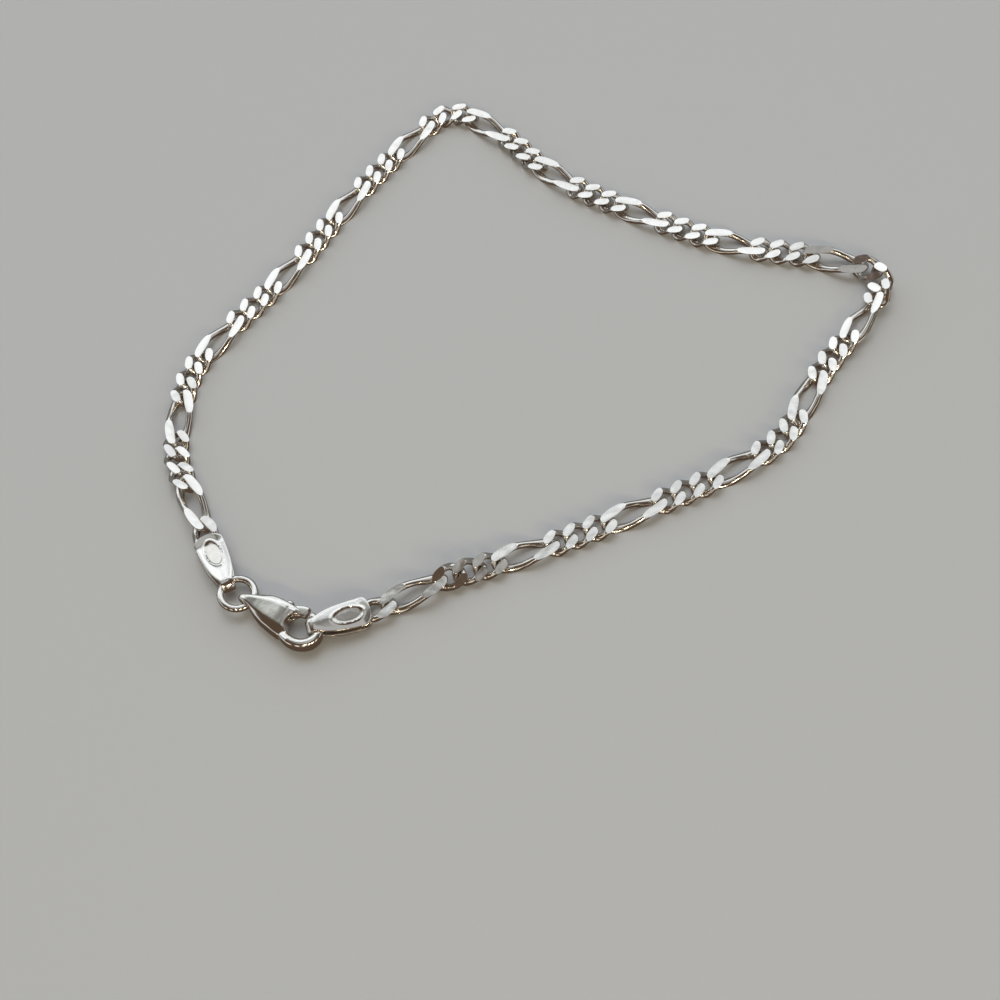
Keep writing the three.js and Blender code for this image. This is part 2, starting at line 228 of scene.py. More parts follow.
def tube_shell(points: Array, closed: bool = False) -> Shell:
    """A skin over a grid of points whose rows are rings.

    Args:
        points: rows, sides and coordinates. Each row is a closed ring.
        closed: whether the last ring joins the first. An open tube gets a fan over each end.

    Returns:
        The closed shell.
    """
    rows, sides = points.shape[:2]
    index = np.arange(rows * sides).reshape(rows, sides)
    index = np.concatenate([index, index[:, :1]], axis=1)
    if closed:
        index = np.concatenate([index, index[:1]])
    here, after = index[:-1], index[1:]
    quads = np.stack([here[:, :-1], after[:, :-1], after[:, 1:], here[:, 1:]], axis=-1)
    quads = quads.reshape(-1, 4)
    flat = points.reshape(-1, 3)
    if closed:
        return Shell(flat, quads).outward()
    first, last = len(flat), len(flat) + 1
    flat = np.concatenate([flat, points[0].mean(0)[None], points[-1].mean(0)[None]])
    start, end = index[0], index[-1]
    fans = [
        np.stack([np.full(sides, first), start[:-1], start[1:]], axis=1),
        np.stack([np.full(sides, last), end[1:], end[:-1]], axis=1),
    ]
    return Shell(flat, quads, np.concatenate(fans)).outward()


def grid_shell(x: Array, y: Array, z: Array, closed: bool = False) -> Shell:
    """A skin over a grid of rings, from each coordinate as a row, a column or a grid."""
    return tube_shell(np.stack(np.broadcast_arrays(x, y, z), axis=-1), closed)


def build_mesh(name: str, shells: list[Shell], scale: float = MM) -> bpy.types.Mesh:
    """One mesh of several shells.

    Args:
        name: the mesh's name.
        shells: the closed surfaces, which share their value names.
        scale: from the shells' unit to the mesh's.

    Returns:
        The mesh, smooth, with its values as attributes.
    """
    starts = np.cumsum([0] + [len(shell.points) for shell in shells[:-1]])
    points = np.concatenate([shell.points for shell in shells]) * scale
    quads, triangles = (
        np.concatenate([getattr(shell, faces) + start for shell, start in zip(shells, starts)])
        for faces in ("quads", "triangles")
    )
    mesh = bpy.data.meshes.new(name)
    mesh.from_pydata(points, [], quads.tolist() + triangles.tolist())
    for domain, values in (("POINT", "point_values"), ("FACE", "face_values")):
        for key in getattr(shells[0], values):
            numbers = np.concatenate([getattr(shell, values)[key] for shell in shells])
            attribute = mesh.attributes.new(key, "FLOAT", domain)
            attribute.data.foreach_set("value", numbers.astype(np.float32))
    mesh.shade_smooth()
    return mesh


def add_object(data: bpy.types.ID) -> bpy.types.Object:
    """Puts a mesh, a light or a camera into the scene under its own name."""
    thing = bpy.data.objects.new(data.name, data)
    bpy.context.scene.collection.objects.link(thing)
    return thing


def arrays_of(mesh: bpy.types.Mesh) -> Shell:
    """A shell from a mesh of four-cornered faces."""
    points = np.empty(len(mesh.vertices) * 3, np.float32)
    mesh.vertices.foreach_get("co", points)
    corners = np.empty(len(mesh.loops), np.int32)
    mesh.loops.foreach_get("vertex_index", corners)
    return Shell(points.reshape(-1, 3).astype(float), corners.reshape(-1, 4))


# ---- Shader expressions


def operator(operation: str, reflected: bool = False) -> Callable[[Value, Any], Value]:
    """Makes an arithmetic method for Value.

    Args:
        operation: the Math node's operation.
        reflected: whether the value is the second of the two operands.

    Returns:
        A method that adds the node and gives its value.
    """

    def method(self: Value, other: Any) -> Value:
        """The operation on the value and a number or another value."""
        return self.apply(operation, *((other, self) if reflected else (self, other)))

    return method


class Value:
    """A number that varies over a surface. Arithmetic on it adds Math nodes."""

    __add__, __radd__ = operator("ADD"), operator("ADD", True)
    __sub__, __rsub__ = operator("SUBTRACT"), operator("SUBTRACT", True)
    __mul__, __rmul__ = operator("MULTIPLY"), operator("MULTIPLY", True)

    def __init__(self, recipe: Recipe, socket: bpy.types.NodeSocket) -> None:
        """Wraps a socket of a recipe's node tree."""
        self.recipe = recipe
        self.socket = socket

    def apply(self, operation: str, *operands: Any, clamp: bool = False) -> Value:
        """A Math node on one or two values or numbers."""
        settings = {"operation": operation, "use_clamp": clamp}
        return self.recipe.add("ShaderNodeMath", settings, dict(enumerate(operands)))

    def sine(self) -> Value:
        """The sine of the value, which is in radians."""
        return self.apply("SINE", self)

    def clamped(self) -> Value:
        """The value, held between 0 and 1."""
        return self.apply("ADD", self, 0.0, clamp=True)

    def band(self, low: float, high: float) -> Value:
        """0 where the value is below low, 1 above high, and a smooth rise between."""
        limits = {"Value": self, "From Min": low, "From Max": high}
        return self.recipe.add("ShaderNodeMapRange", {"interpolation_type": "SMOOTHSTEP"}, limits)


class Recipe:
    """A node tree under construction."""

    def __init__(self, tree: bpy.types.NodeTree) -> None:
        """Starts from an empty tree."""
        tree.nodes.clear()
        self.tree = tree

    def node(self, kind: str, settings: dict[str, Any], inputs: dict[Any, Any]) -> bpy.types.Node:
        """Adds one node.

        Args:
            kind: the node's type.
            settings: its own properties, set before its sockets.
            inputs: a value, a socket or a Value for each input, by name or number.

        Returns:
            The node.
        """
        made = self.tree.nodes.new(kind)
        for name, setting in settings.items():
            setattr(made, name, setting)
        for name, given in inputs.items():
            source = given.socket if isinstance(given, Value) else given
            if isinstance(source, bpy.types.NodeSocket):
                self.tree.links.new(source, made.inputs[name])
            else:
                made.inputs[name].default_value = source
        return made

    def add(
        self, kind: str, settings: dict[str, Any], inputs: dict[Any, Any], output: Any = 0
    ) -> Value:
        """Adds one node and wraps one of its outputs."""
        return Value(self, self.node(kind, settings, inputs).outputs[output])

    def noise(self, place: Any, scale: float, detail: float) -> Value:
        """A cloudy number from 0 to 1."""
        inputs = {"Vector": place, "Scale": scale, "Detail": detail}
        return self.add("ShaderNodeTexNoise", {}, inputs, "Fac")

    def attribute(self, name: str) -> Value:
        """A number that the mesh carries."""
        return self.add("ShaderNodeAttribute", {"attribute_name": name}, {}, "Fac")

    def blend(self, share: Value, low: Any, high: Any) -> Value:
        """A colour between two, by a share."""
        inputs = {"Factor": share, "A": low, "B": high}
        return self.add("ShaderNodeMix", {"data_type": "RGBA"}, inputs, "Result")

    def finish(self, **sockets: Any) -> None:
        """Ends a material's tree with its shader, whose sockets are named with low lines."""
        inputs = {name.replace("_", " "): value for name, value in sockets.items()}
        shader = self.add("ShaderNodeBsdfPrincipled", {}, inputs)
        self.node("ShaderNodeOutputMaterial", {}, {"Surface": shader})


def new_material(name: str) -> tuple[bpy.types.Material, Recipe]:
    """A material and the recipe that its nodes are added to."""
    made = bpy.data.materials.new(name)
    made.use_nodes = True
    return made, Recipe(made.node_tree)


def rgba(red: float, green: float, blue: float) -> Colour:
    """An opaque colour."""
    return (red, green, blue, 1.0)


# ---- Finishes


@dataclass(frozen=True)
class Silver:
    """Polished sterling silver that has been worn.

    The polish is uneven and fine scratches run through it. The colour turns brown where points are
    marked hollow: partly tarnish, partly painted shade in the hollows and on the lower sides. Faces
    marked as cut keep the straighter marks of the cutting wheel.
    """

    name: str
    colour: Colour = rgba(0.93, 0.915, 0.89)
    # the brown of tarnish and painted shade, mixed in where points are marked hollow
    tarnish_and_shade_colour: Colour = rgba(0.36, 0.27, 0.18)
    roughness: float = 0.10
    cut_roughness: float = 0.16
    scratches: float = 0.22
    tarnish_and_shade_depth: float = 0.55
    smear_depth: float = 0.07
    scratch_depth: float = 0.05
    tarnish_roughness: float = 0.3
    cloud_scale: float = 900.0
    wave_scale: float = 1300.0
    smear_scale: float = 260.0
    scratch_scales: Point = (9000.0, 1100.0, 1500.0)
    scratch_turn: Point = (0.3, 0.2, 0.7)
    bump_height: float = 0.0001

    def material(self) -> bpy.types.Material:
        """The finish as a material."""
        made, recipe = new_material(self.name)
        place = recipe.node("ShaderNodeTexCoord", {}, {}).outputs["Object"]
        cut = recipe.attribute("cut")
        hollow = recipe.attribute("hollow")
        cloud = recipe.noise(place, self.cloud_scale, 5.0)
        wave = recipe.noise(place, self.wave_scale, 0.0)
        smear = recipe.noise(place, self.smear_scale, 3.0)
        drawn_out = {"Vector": place, "Scale": self.scratch_scales, "Rotation": self.scratch_turn}
        streaks = recipe.node("ShaderNodeMapping", {}, drawn_out).outputs[0]
        scratch = recipe.noise(streaks, 1.0, 2.0)
        # Painted shade and tarnish: the colour darkens to brown by the hollow marks, spread
        # unevenly by the cloud.
        tarnish_and_shade = (hollow * (0.45 + 0.9 * cloud) * self.tarnish_and_shade_depth).clamped()
        tarnished_and_shaded = recipe.blend(tarnish_and_shade, self.colour, self.tarnish_and_shade_colour)
        rough = (
            self.roughness + (self.cut_roughness - self.roughness) * cut
            + self.smear_depth * (smear - 0.5) + self.scratch_depth * (scratch - 0.5)
            + self.tarnish_roughness * tarnish_and_shade
        ).clamped()
        height = scratch * 0.03 + cloud * 0.6 + wave * (0.5 + 0.5 * cut)
        relief = {"Strength": self.scratches, "Distance": self.bump_height, "Height": height}
        bump = recipe.add("ShaderNodeBump", {}, relief)
        recipe.finish(Base_Color=tarnished_and_shaded, Metallic=1.0, Roughness=rough, Normal=bump)
        return made


@dataclass(frozen=True)
class PaleTable:
    """The plain pale surface that the bracelet lies on."""

    colour: Colour = rgba(0.66, 0.685, 0.715)
    roughness: float = 0.6

    def material(self) -> bpy.types.Material:
        """The finish as a material."""
        made, recipe = new_material("pale_table")
        recipe.finish(Base_Color=self.colour, Roughness=self.roughness)
        return made


# ---- The chain's route


class Mark(Enum):
    """What a row of the route stands at."""

    END = "the last short link, in an end tag"
    LONG = "a long link's middle"
    BEND = "a bend between two long links"


@dataclass(frozen=True)
class Row:
    """One row of the route: a place in plan, in millimetres, a roll in degrees and a lift."""

    mark: Mark
    x: float
    y: float
    roll: float = 0.0
    lift: float = 0.0


END, LONG, BEND = Mark
ROUTE = tuple(Row(*row) for row in (
    (END, -18.2, -28.9, 2, 0.25), (LONG, -14.75, -28.15, 2, 0.05), (BEND, -12.0, -27.35, 34),
    (BEND, -8.0, -26.68, 8), (LONG, -3.9, -26.1, 1), (LONG, 6.9, -23.9), (LONG, 17.7, -21.1),
    (BEND, 22.9, -18.6), (LONG, 25.9, -14.9), (BEND, 29.5, -11.0, -4), (LONG, 33.75, -7.5, -26),
    (BEND, 36.8, -2.9, -33), (LONG, 32.95, 0.15, -13), (BEND, 29.9, 1.8, -4), (LONG, 23.5, 4.6),
    (LONG, 15.0, 10.8), (LONG, 7.0, 17.9), (LONG, 1.1, 26.8), (BEND, -3.0, 29.75),
    (LONG, -7.7, 26.8), (LONG, -15.7, 19.7), (LONG, -23.0, 11.8), (LONG, -31.0, 4.9),
    (BEND, -34.4, 1.0), (LONG, -35.8, -4.2, -12), (BEND, -36.25, -9.3, -24),
    (LONG, -34.75, -14.4, -16, 0.1), (END, -33.95, -17.85, -6, 0.35),
))


@dataclass(frozen=True)
class ChainMake:
    """How the chain is made, in millimetres."""

    wire: float = 0.68
    width: float = 2.6
    flat_cut: float = 0.5
    twist: float = math.radians(46)
    short_pitch: float = 2.0
    long_pitch: float = 5.2
    short_half: float = 1.355
    long_half: float = 3.08
    short_roundness: float = 2.6
    long_roundness: float = 3.0

    @property
    def half_width(self) -> float:
        """From a link's middle to the middle of its wire, across."""
        return (self.width - self.wire) / 2

    def rest_height(self, roll: Array) -> Array:
        """The height of a link's middle when its lowest edge touches the surface."""
        return self.flat_cut * np.abs(np.cos(roll)) + self.width / 2 * np.abs(np.sin(roll))


class Route:
    """The smooth line that the links' middles follow.

    It is a centripetal Catmull-Rom curve through the rows, measured by its own length.
    """

    steps = 100

    def __init__(self, rows: tuple[Row, ...], make: ChainMake) -> None:
        """Measures the curve through the rows."""
        self.make = make
        knots = np.array([(row.x, row.y) for row in rows])
        knots = np.vstack([2 * knots[0] - knots[1], knots, 2 * knots[-1] - knots[-2]])
        spans = np.sqrt(np.linalg.norm(np.diff(knots, axis=0), axis=1))
        slopes = np.diff(knots, axis=0) / spans[:, None]
        chords = (knots[2:] - knots[:-2]) / (spans[1:] + spans[:-1])[:, None]
        leave = slopes[:-1] - chords + slopes[1:]
        width = spans[1:-1, None]
        start, end = knots[1:-2], knots[2:-1]
        out, into = leave[:-1] * width, leave[1:] * width
        share = np.arange(self.steps)[None, :, None] / self.steps
        start, end, out, into = (item[:, None] for item in (start, end, out, into))
        curve = (
            start + out * share + (3 * (end - start) - 2 * out - into) * share**2
            + (2 * (start - end) + out + into) * share**3
        )
        self.line = np.vstack([curve.reshape(-1, 2), knots[-2]])
        chord = np.linalg.norm(np.diff(self.line, axis=0), axis=1)
        self.places = np.concatenate([[0.0], np.cumsum(chord)])
        self.row_places = self.places[:: self.steps]
        self.rolls = np.radians([row.roll for row in rows])
        self.lifts = np.array([row.lift for row in rows])
        self.long_places = self.row_places[[row.mark is Mark.LONG for row in rows]]

    @property
    def length(self) -> float:
        """From the first row to the last, along the curve."""
        return float(self.places[-1])

    def roll(self, place: float) -> float:
        """The links' roll at a place."""
        return float(np.interp(place, self.row_places, self.rolls))

    def point(self, place: float) -> Array:
        """A point of the route. Past an end it runs straight on."""
        inside = min(max(place, 0.0), self.length)
        here = np.array([np.interp(inside, self.places, self.line[:, i]) for i in (0, 1)])
        end = self.line[:2] if place < 0 else self.line[-2:]
        here = here + unit(end[1] - end[0]) * (place - inside)
        lift = np.interp(inside, self.row_places, self.lifts)
        return np.array([*here, float(self.make.rest_height(self.roll(inside)) + lift)])

    def seat(self, place: float, pitch: float) -> Seat:
        """The seat of a link, by its middle's place and its share of the route's length."""
        start, end = self.point(place - pitch / 2), self.point(place + pitch / 2)
        return Seat.along((start + end) / 2, end - start, self.roll(place))


# ---- Links


@dataclass(frozen=True)
class LinkShape:
    """One oval of round wire, twisted about x and cut flat above and below.

    The wire's middle follows a superellipse. The twist runs from start_twist at the low end to
    end_twist at the high end, as a sine of x. What then stands past the flat cut is pressed onto
    it, and spreads the wire sideways there by a share of how deep it was pressed.
    """

    make: ChainMake
    half_length: float
    roundness: float
    start_twist: float
    end_twist: float
    steps: int = 104
    flat_steps: int = 4
    side_steps: int = 10
    spread: float = 0.30
    search_steps: int = 22
    least_flat: float = 0.1

    def middle_line(self) -> tuple[Array, Array]:
        """The wire's middle, with more points where it bends.

        Returns:
            The points and the outward direction at each, for one round of the link.
        """
        angle = np.linspace(0.0, 2 * math.pi, 4001)
        cosine, sine = np.cos(angle), np.sin(angle)
        power = 2 / self.roundness
        half_width = self.make.half_width
        line = np.stack([
            self.half_length * signed_power(cosine, power),
            half_width * signed_power(sine, power),
        ], axis=1)
        outward = unit(np.stack([
            signed_power(cosine, 2 - power) / self.half_length,
            signed_power(sine, 2 - power) / half_width,
        ], axis=1))
        run = np.concatenate([[0.0], np.cumsum(np.linalg.norm(np.diff(line, axis=0), axis=1))])
        turn = np.unwrap(np.arctan2(outward[:, 1], outward[:, 0]))
        pace = 0.5 * run / run[-1] + 0.5 * (turn - turn[0]) / (turn[-1] - turn[0])
        at = (np.arange(self.steps) + 0.5) / self.steps
        level = np.zeros(self.steps)
        middle = np.stack([*(np.interp(at, pace, line[:, i]) for i in (0, 1)), level], axis=1)
        facing = np.interp(at, pace, turn)
        return middle, np.stack([np.cos(facing), np.sin(facing), level], axis=1)

    def twisted(self, points: Array) -> Array:
        """Points turned about x by the twist at their own x."""
        share = np.clip(points[..., 0] / self.half_length, -1.0, 1.0)
        blend = (1 + np.sin(share * math.pi / 2)) / 2
        twist = self.start_twist + (self.end_twist - self.start_twist) * blend
        cosine, sine = np.cos(twist), np.sin(twist)
        y, z = points[..., 1], points[..., 2]
        return np.stack([points[..., 0], y * cosine - z * sine, y * sine + z * cosine], axis=-1)

    def shell(self) -> Shell:
        """The link's surface.

        Round each section the corners are spaced so that two of them lie on each edge of the flat
        cuts: the angles where the round wire crosses the cut are found first, by halving.

        Returns:
            The shell, with cut faces marked cut, and the inner side, the bows and the lower side
            marked hollow, where the colour darkens with tarnish and painted shade.
        """
        middle, outward = self.middle_line()
        radius, cut = self.make.wire / 2, self.make.flat_cut

        def ring(angle: Array) -> Array:
            """Points round the wire, from the outward side towards the lower side."""
            down = np.array([0.0, 0.0, -1.0])
            offset = outward[:, None] * np.cos(angle)[..., None] + down * np.sin(angle)[..., None]
            return self.twisted(middle[:, None] + radius * offset)

        angles = np.tile(circle(720), (self.steps, 1))
        heights = ring(angles)[..., 2]
        top = np.take_along_axis(angles, heights.argmax(1)[:, None], 1)
        bottom = np.take_along_axis(angles, heights.argmin(1)[:, None], 1)

        def edge(centre: Array, side: int, sign: int) -> Array:
            """The angle from a section's top or bottom to where it crosses the cut."""
            low, high = np.zeros_like(centre), np.full_like(centre, math.pi / 2)
            for _ in range(self.search_steps):
                half = (low + high) / 2
                inside = sign * ring(centre + side * half)[..., 2] > cut
                low, high = np.where(inside, half, low), np.where(inside, high, half)
            return np.maximum(low, self.least_flat)

        bottom = top + np.mod(bottom - top, 2 * math.pi)
        knots = [
            top - edge(top, -1, 1), top + edge(top, 1, 1),
            bottom - edge(bottom, -1, -1), bottom + edge(bottom, 1, -1),
        ]
        knots.append(knots[0] + 2 * math.pi)
        counts = [self.flat_steps, self.side_steps, self.flat_steps, self.side_steps]
        section = np.concatenate([
            start + (end - start) * np.arange(count) / count
            for start, end, count in zip(knots, knots[1:], counts)
        ], axis=1)
        points = ring(section)
        aside = points[..., :2] - self.twisted(middle)[:, None, :2]
        swell = sum(
            np.clip(sign * ring(crest)[..., 2] - cut, 0, None)
            * smooth(sign * points[..., 2] / cut, -0.1, 1.0)
            for sign, crest in ((1, top), (-1, bottom))
        )
        points[..., :2] += aside * swell[..., None] * self.spread / radius
        points[..., 2] = np.clip(points[..., 2], -cut, cut)
        shell = tube_shell(points, True)
        flats = np.abs(shell.points[shell.quads][..., 2]) > cut - 1e-5
        # Tarnish and painted shade: the inner side, the bows and the lower side are marked to
        # darken.
        inner = smooth(-np.cos(section), -0.2, 0.7)
        ends = smooth(np.abs(points[..., 0]) / self.half_length, 0.45, 0.9)
        low_side = smooth(-points[..., 2], -0.1, cut)
        shell.valued(inner * (0.35 + 0.65 * ends) + 0.3 * low_side)
        shell.face_values["cut"] = flats.all(1).astype(float)
        return shell


def short_link(make: ChainMake, start_twist: float, end_twist: float) -> Shell:
    """A short link's surface, with the twists at its two ends."""
    half, roundness = make.short_half, make.short_roundness
    return LinkShape(make, half, roundness, start_twist, end_twist, steps=84).shell()


# ---- The bracelet's sub-assemblies


class Body(Enum):
    """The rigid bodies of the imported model."""

    BRACELET = "bracelet"
    LEVER = "lever"


@dataclass
class Workshop:
    """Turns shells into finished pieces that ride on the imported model."""

    materials: dict[str, bpy.types.Material]
    shift: Array

    def piece(
        self, name: str, shells: list[Shell], slot: str, node: str,
        body: Body = Body.BRACELET, crease: float = 28.0,
    ) -> bpy.types.Object:
        """Makes one piece.

        Args:
            name: its name.
            shells: its closed surfaces, in the route's millimetres.
            slot: the material slot whose finish it takes.
            node: the node it stands for.
            body: the body it rides on.
            crease: edges sharper than this, in degrees, stay crisp.

        Returns:
            The piece's object.
        """
        moved = [replace(shell, points=shell.points + self.shift) for shell in shells]
        mesh = build_mesh(name, moved)
        mesh.set_sharp_from_angle(angle=math.radians(crease))
        mesh.materials.append(self.materials[slot])
        thing = add_object(mesh)
        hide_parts(node)
        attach(thing, body.value)
        return thing


@dataclass
class Chain:
    """The seventeen long links and the groups of three short links between them."""

    make: ChainMake
    route: Route

    def build(self, shop: Workshop) -> None:
        """Makes every link between the end tags."""
        make, route = self.make, self.route
        twists = make.twist, -make.twist
        long = LinkShape(make, make.long_half, make.long_roundness, *twists).shell()
        short = short_link(make, *twists)
        places = route.long_places
        for number, place in enumerate(places, 1):
            node = f"long_link_{number:02d}"
            link = long.placed(route.seat(place, make.long_pitch))
            shop.piece(f"{node}_polished", [link], "silver", node)
        for number, middle in enumerate((places[:-1] + places[1:]) / 2, 1):
            for which, step in zip("abc", (-1, 0, 1)):
                seat = route.seat(middle + step * make.short_pitch, make.short_pitch)
                name = f"short_link_{number:02d}_{which}"
                shop.piece(name, [short.placed(seat)], "silver", f"short_links_{number:02d}")
        LOG.info("chain: %d long links, %d short", len(places), 3 * (len(places) - 1))


@dataclass(frozen=True)
class JumpRing:
    """A soldered ring of round wire."""

    radius: float = 1.6
    wire: float = 0.7
    seam_depth: float = 0.02
    seam_angle: float = math.radians(130)
    steps: int = 120
    sides: int = 32

    def shell(self) -> Shell:
        """The ring: a circle of the wire's radius carried round, a little thinner at its seam."""
        turn, section = circle(self.steps)[:, None], circle(self.sides)
        away = np.abs(np.angle(np.exp(1j * (turn - self.seam_angle))))
        thin = self.wire / 2 - self.seam_depth * bell(away, 0.0, 0.03)
        reach = self.radius + thin * np.cos(section)
        shell = grid_shell(reach * np.cos(turn), reach * np.sin(turn), thin * np.sin(section), True)
        # The inner side is marked for tarnish and painted shade, the seam for tarnish.
        return shell.valued(0.5 * smooth(-np.cos(section), 0.0, 1.0) + 0.6 * bell(away, 0.0, 0.05))


@dataclass(frozen=True)
class EndTag:
    """A strip folded round a ring or a hook, its two flat ends over the chain's last short link.

    An oval plate with a raised rim lies on the upper end.
    """

    make: ChainMake
    strip: float = 0.3
    fold_radius: float = 0.73
    length: float = 5.3
    narrow: float = 1.3
    wide: float = 2.9
    swell: float = 1.5
    flare: float = 0.34
    flare_length: float = 1.15
    flare_power: float = 1.5
    mouth: float = 0.42
    corner: float = 0.75
    corner_power: float = 2.2
    side_squareness: float = 0.8
    face_squareness: float = 0.35
    crown: float = 0.025
    rim: float = 0.07
    rim_width: float = 0.11
    oval_at: float = 0.60
    oval_half_length: float = 1.5
    oval_half_width: float = 0.78
    plate_steps: int = 84
    fold_steps: int = 24
    sides: int = 96

    def seat(self, held: Array, middle: Array, normal: Array, link_end: Array) -> Seat:
        """Where the tag lies: its fold across a round wire, its length towards the end link.

        Args:
            held: the point of the wire that the tag holds.
            middle: the middle that the wire runs round.
            normal: the normal of the wire's plane.
            link_end: the near end of the last short link.

        Returns:
            The tag's seat.
        """
        x = unit(link_end - held)
        y = np.cross(normal, held - middle)
        y = unit(y - x * (y @ x))
        z = np.cross(x, y)
        if z[2] < 0:
            y, z = -y, -z
        return Seat(held, np.stack([x, y, z], axis=1))

    def shell(self) -> Shell:
        """The folded strip.

        Its middle line is a straight run in, a half circle round the wire and a straight run back.
        The section is a flat rounded rectangle, as wide as the taper, that shrinks to nothing on a
        quarter ellipse at each end. A fine oval rim stands on the upper plate's outside.

        Returns:
            The shell.
        """
        plate = np.linspace(0, 1, self.plate_steps)
        ease = self.length * (1 - (1 - plate) ** 1.35)
        slope = (self.fold_radius - self.mouth) / self.length
        fold = np.linspace(math.pi / 2, 3 * math.pi / 2, self.fold_steps + 2)[1:-1]
        run_x = ease[::-1]
        run_z = self.fold_radius - slope * run_x
        x = np.concatenate([run_x, self.fold_radius * np.cos(fold), ease])
        flared = np.clip((run_x - self.length + self.flare_length) / self.flare_length, 0, 1)
        flare = self.flare * flared**self.flare_power
        z = np.concatenate([run_z + flare, self.fold_radius * np.sin(fold), -run_z[::-1]])
        level = np.full(self.plate_steps, math.pi / 2)
        lean = np.concatenate([level, fold, 3 * level])
        taper = 1 - np.exp(-np.clip(x, 0, None) / self.swell)
        taper = taper / (1 - math.exp(-self.length / self.swell))
        half_width = (self.narrow + (self.wide - self.narrow) * taper) / 2
        end = np.clip((x - (self.length - self.corner)) / self.corner, 0, 1)
        half_width = half_width * np.sqrt(1 - 0.995 * end**self.corner_power)
        around = circle(self.sides)
        across = signed_power(np.cos(around), self.side_squareness)
        through = signed_power(np.sin(around), self.face_squareness)
        y = half_width[:, None] * across
        crown = self.crown * (1 - across**2)
        thickness = self.strip / 2 * through + np.where(through > 0, crown, -crown * 0.5)
        oval_x = (x[:, None] - self.oval_at * self.length) / self.oval_half_length
        oval_y = y / self.oval_half_width
        oval = np.sqrt(oval_x**2 + oval_y**2)
        sunk = smooth(1 - oval, 0.0, 0.15)
        rim = self.rim * bell(oval, 1.0, self.rim_width) - 0.6 * self.rim * sunk
        upper = (lean[:, None] < math.pi / 2 + 0.01) & (through > 0.5)
        thickness = thickness + np.where(upper, rim, 0.0)
        x, z, lean = x[:, None], z[:, None], lean[:, None]
        shell = grid_shell(x + np.cos(lean) * thickness, y, z + np.sin(lean) * thickness)
        # Tarnish and painted shade: the strip's inner faces and the sunk oval are marked to darken.
        inside = smooth(-through, 0.2, 0.9)
        hollow = 0.6 * inside + np.where(upper, 0.4 * sunk, 0)
        return shell.valued(np.append(hollow, [0.5, 0.5]))


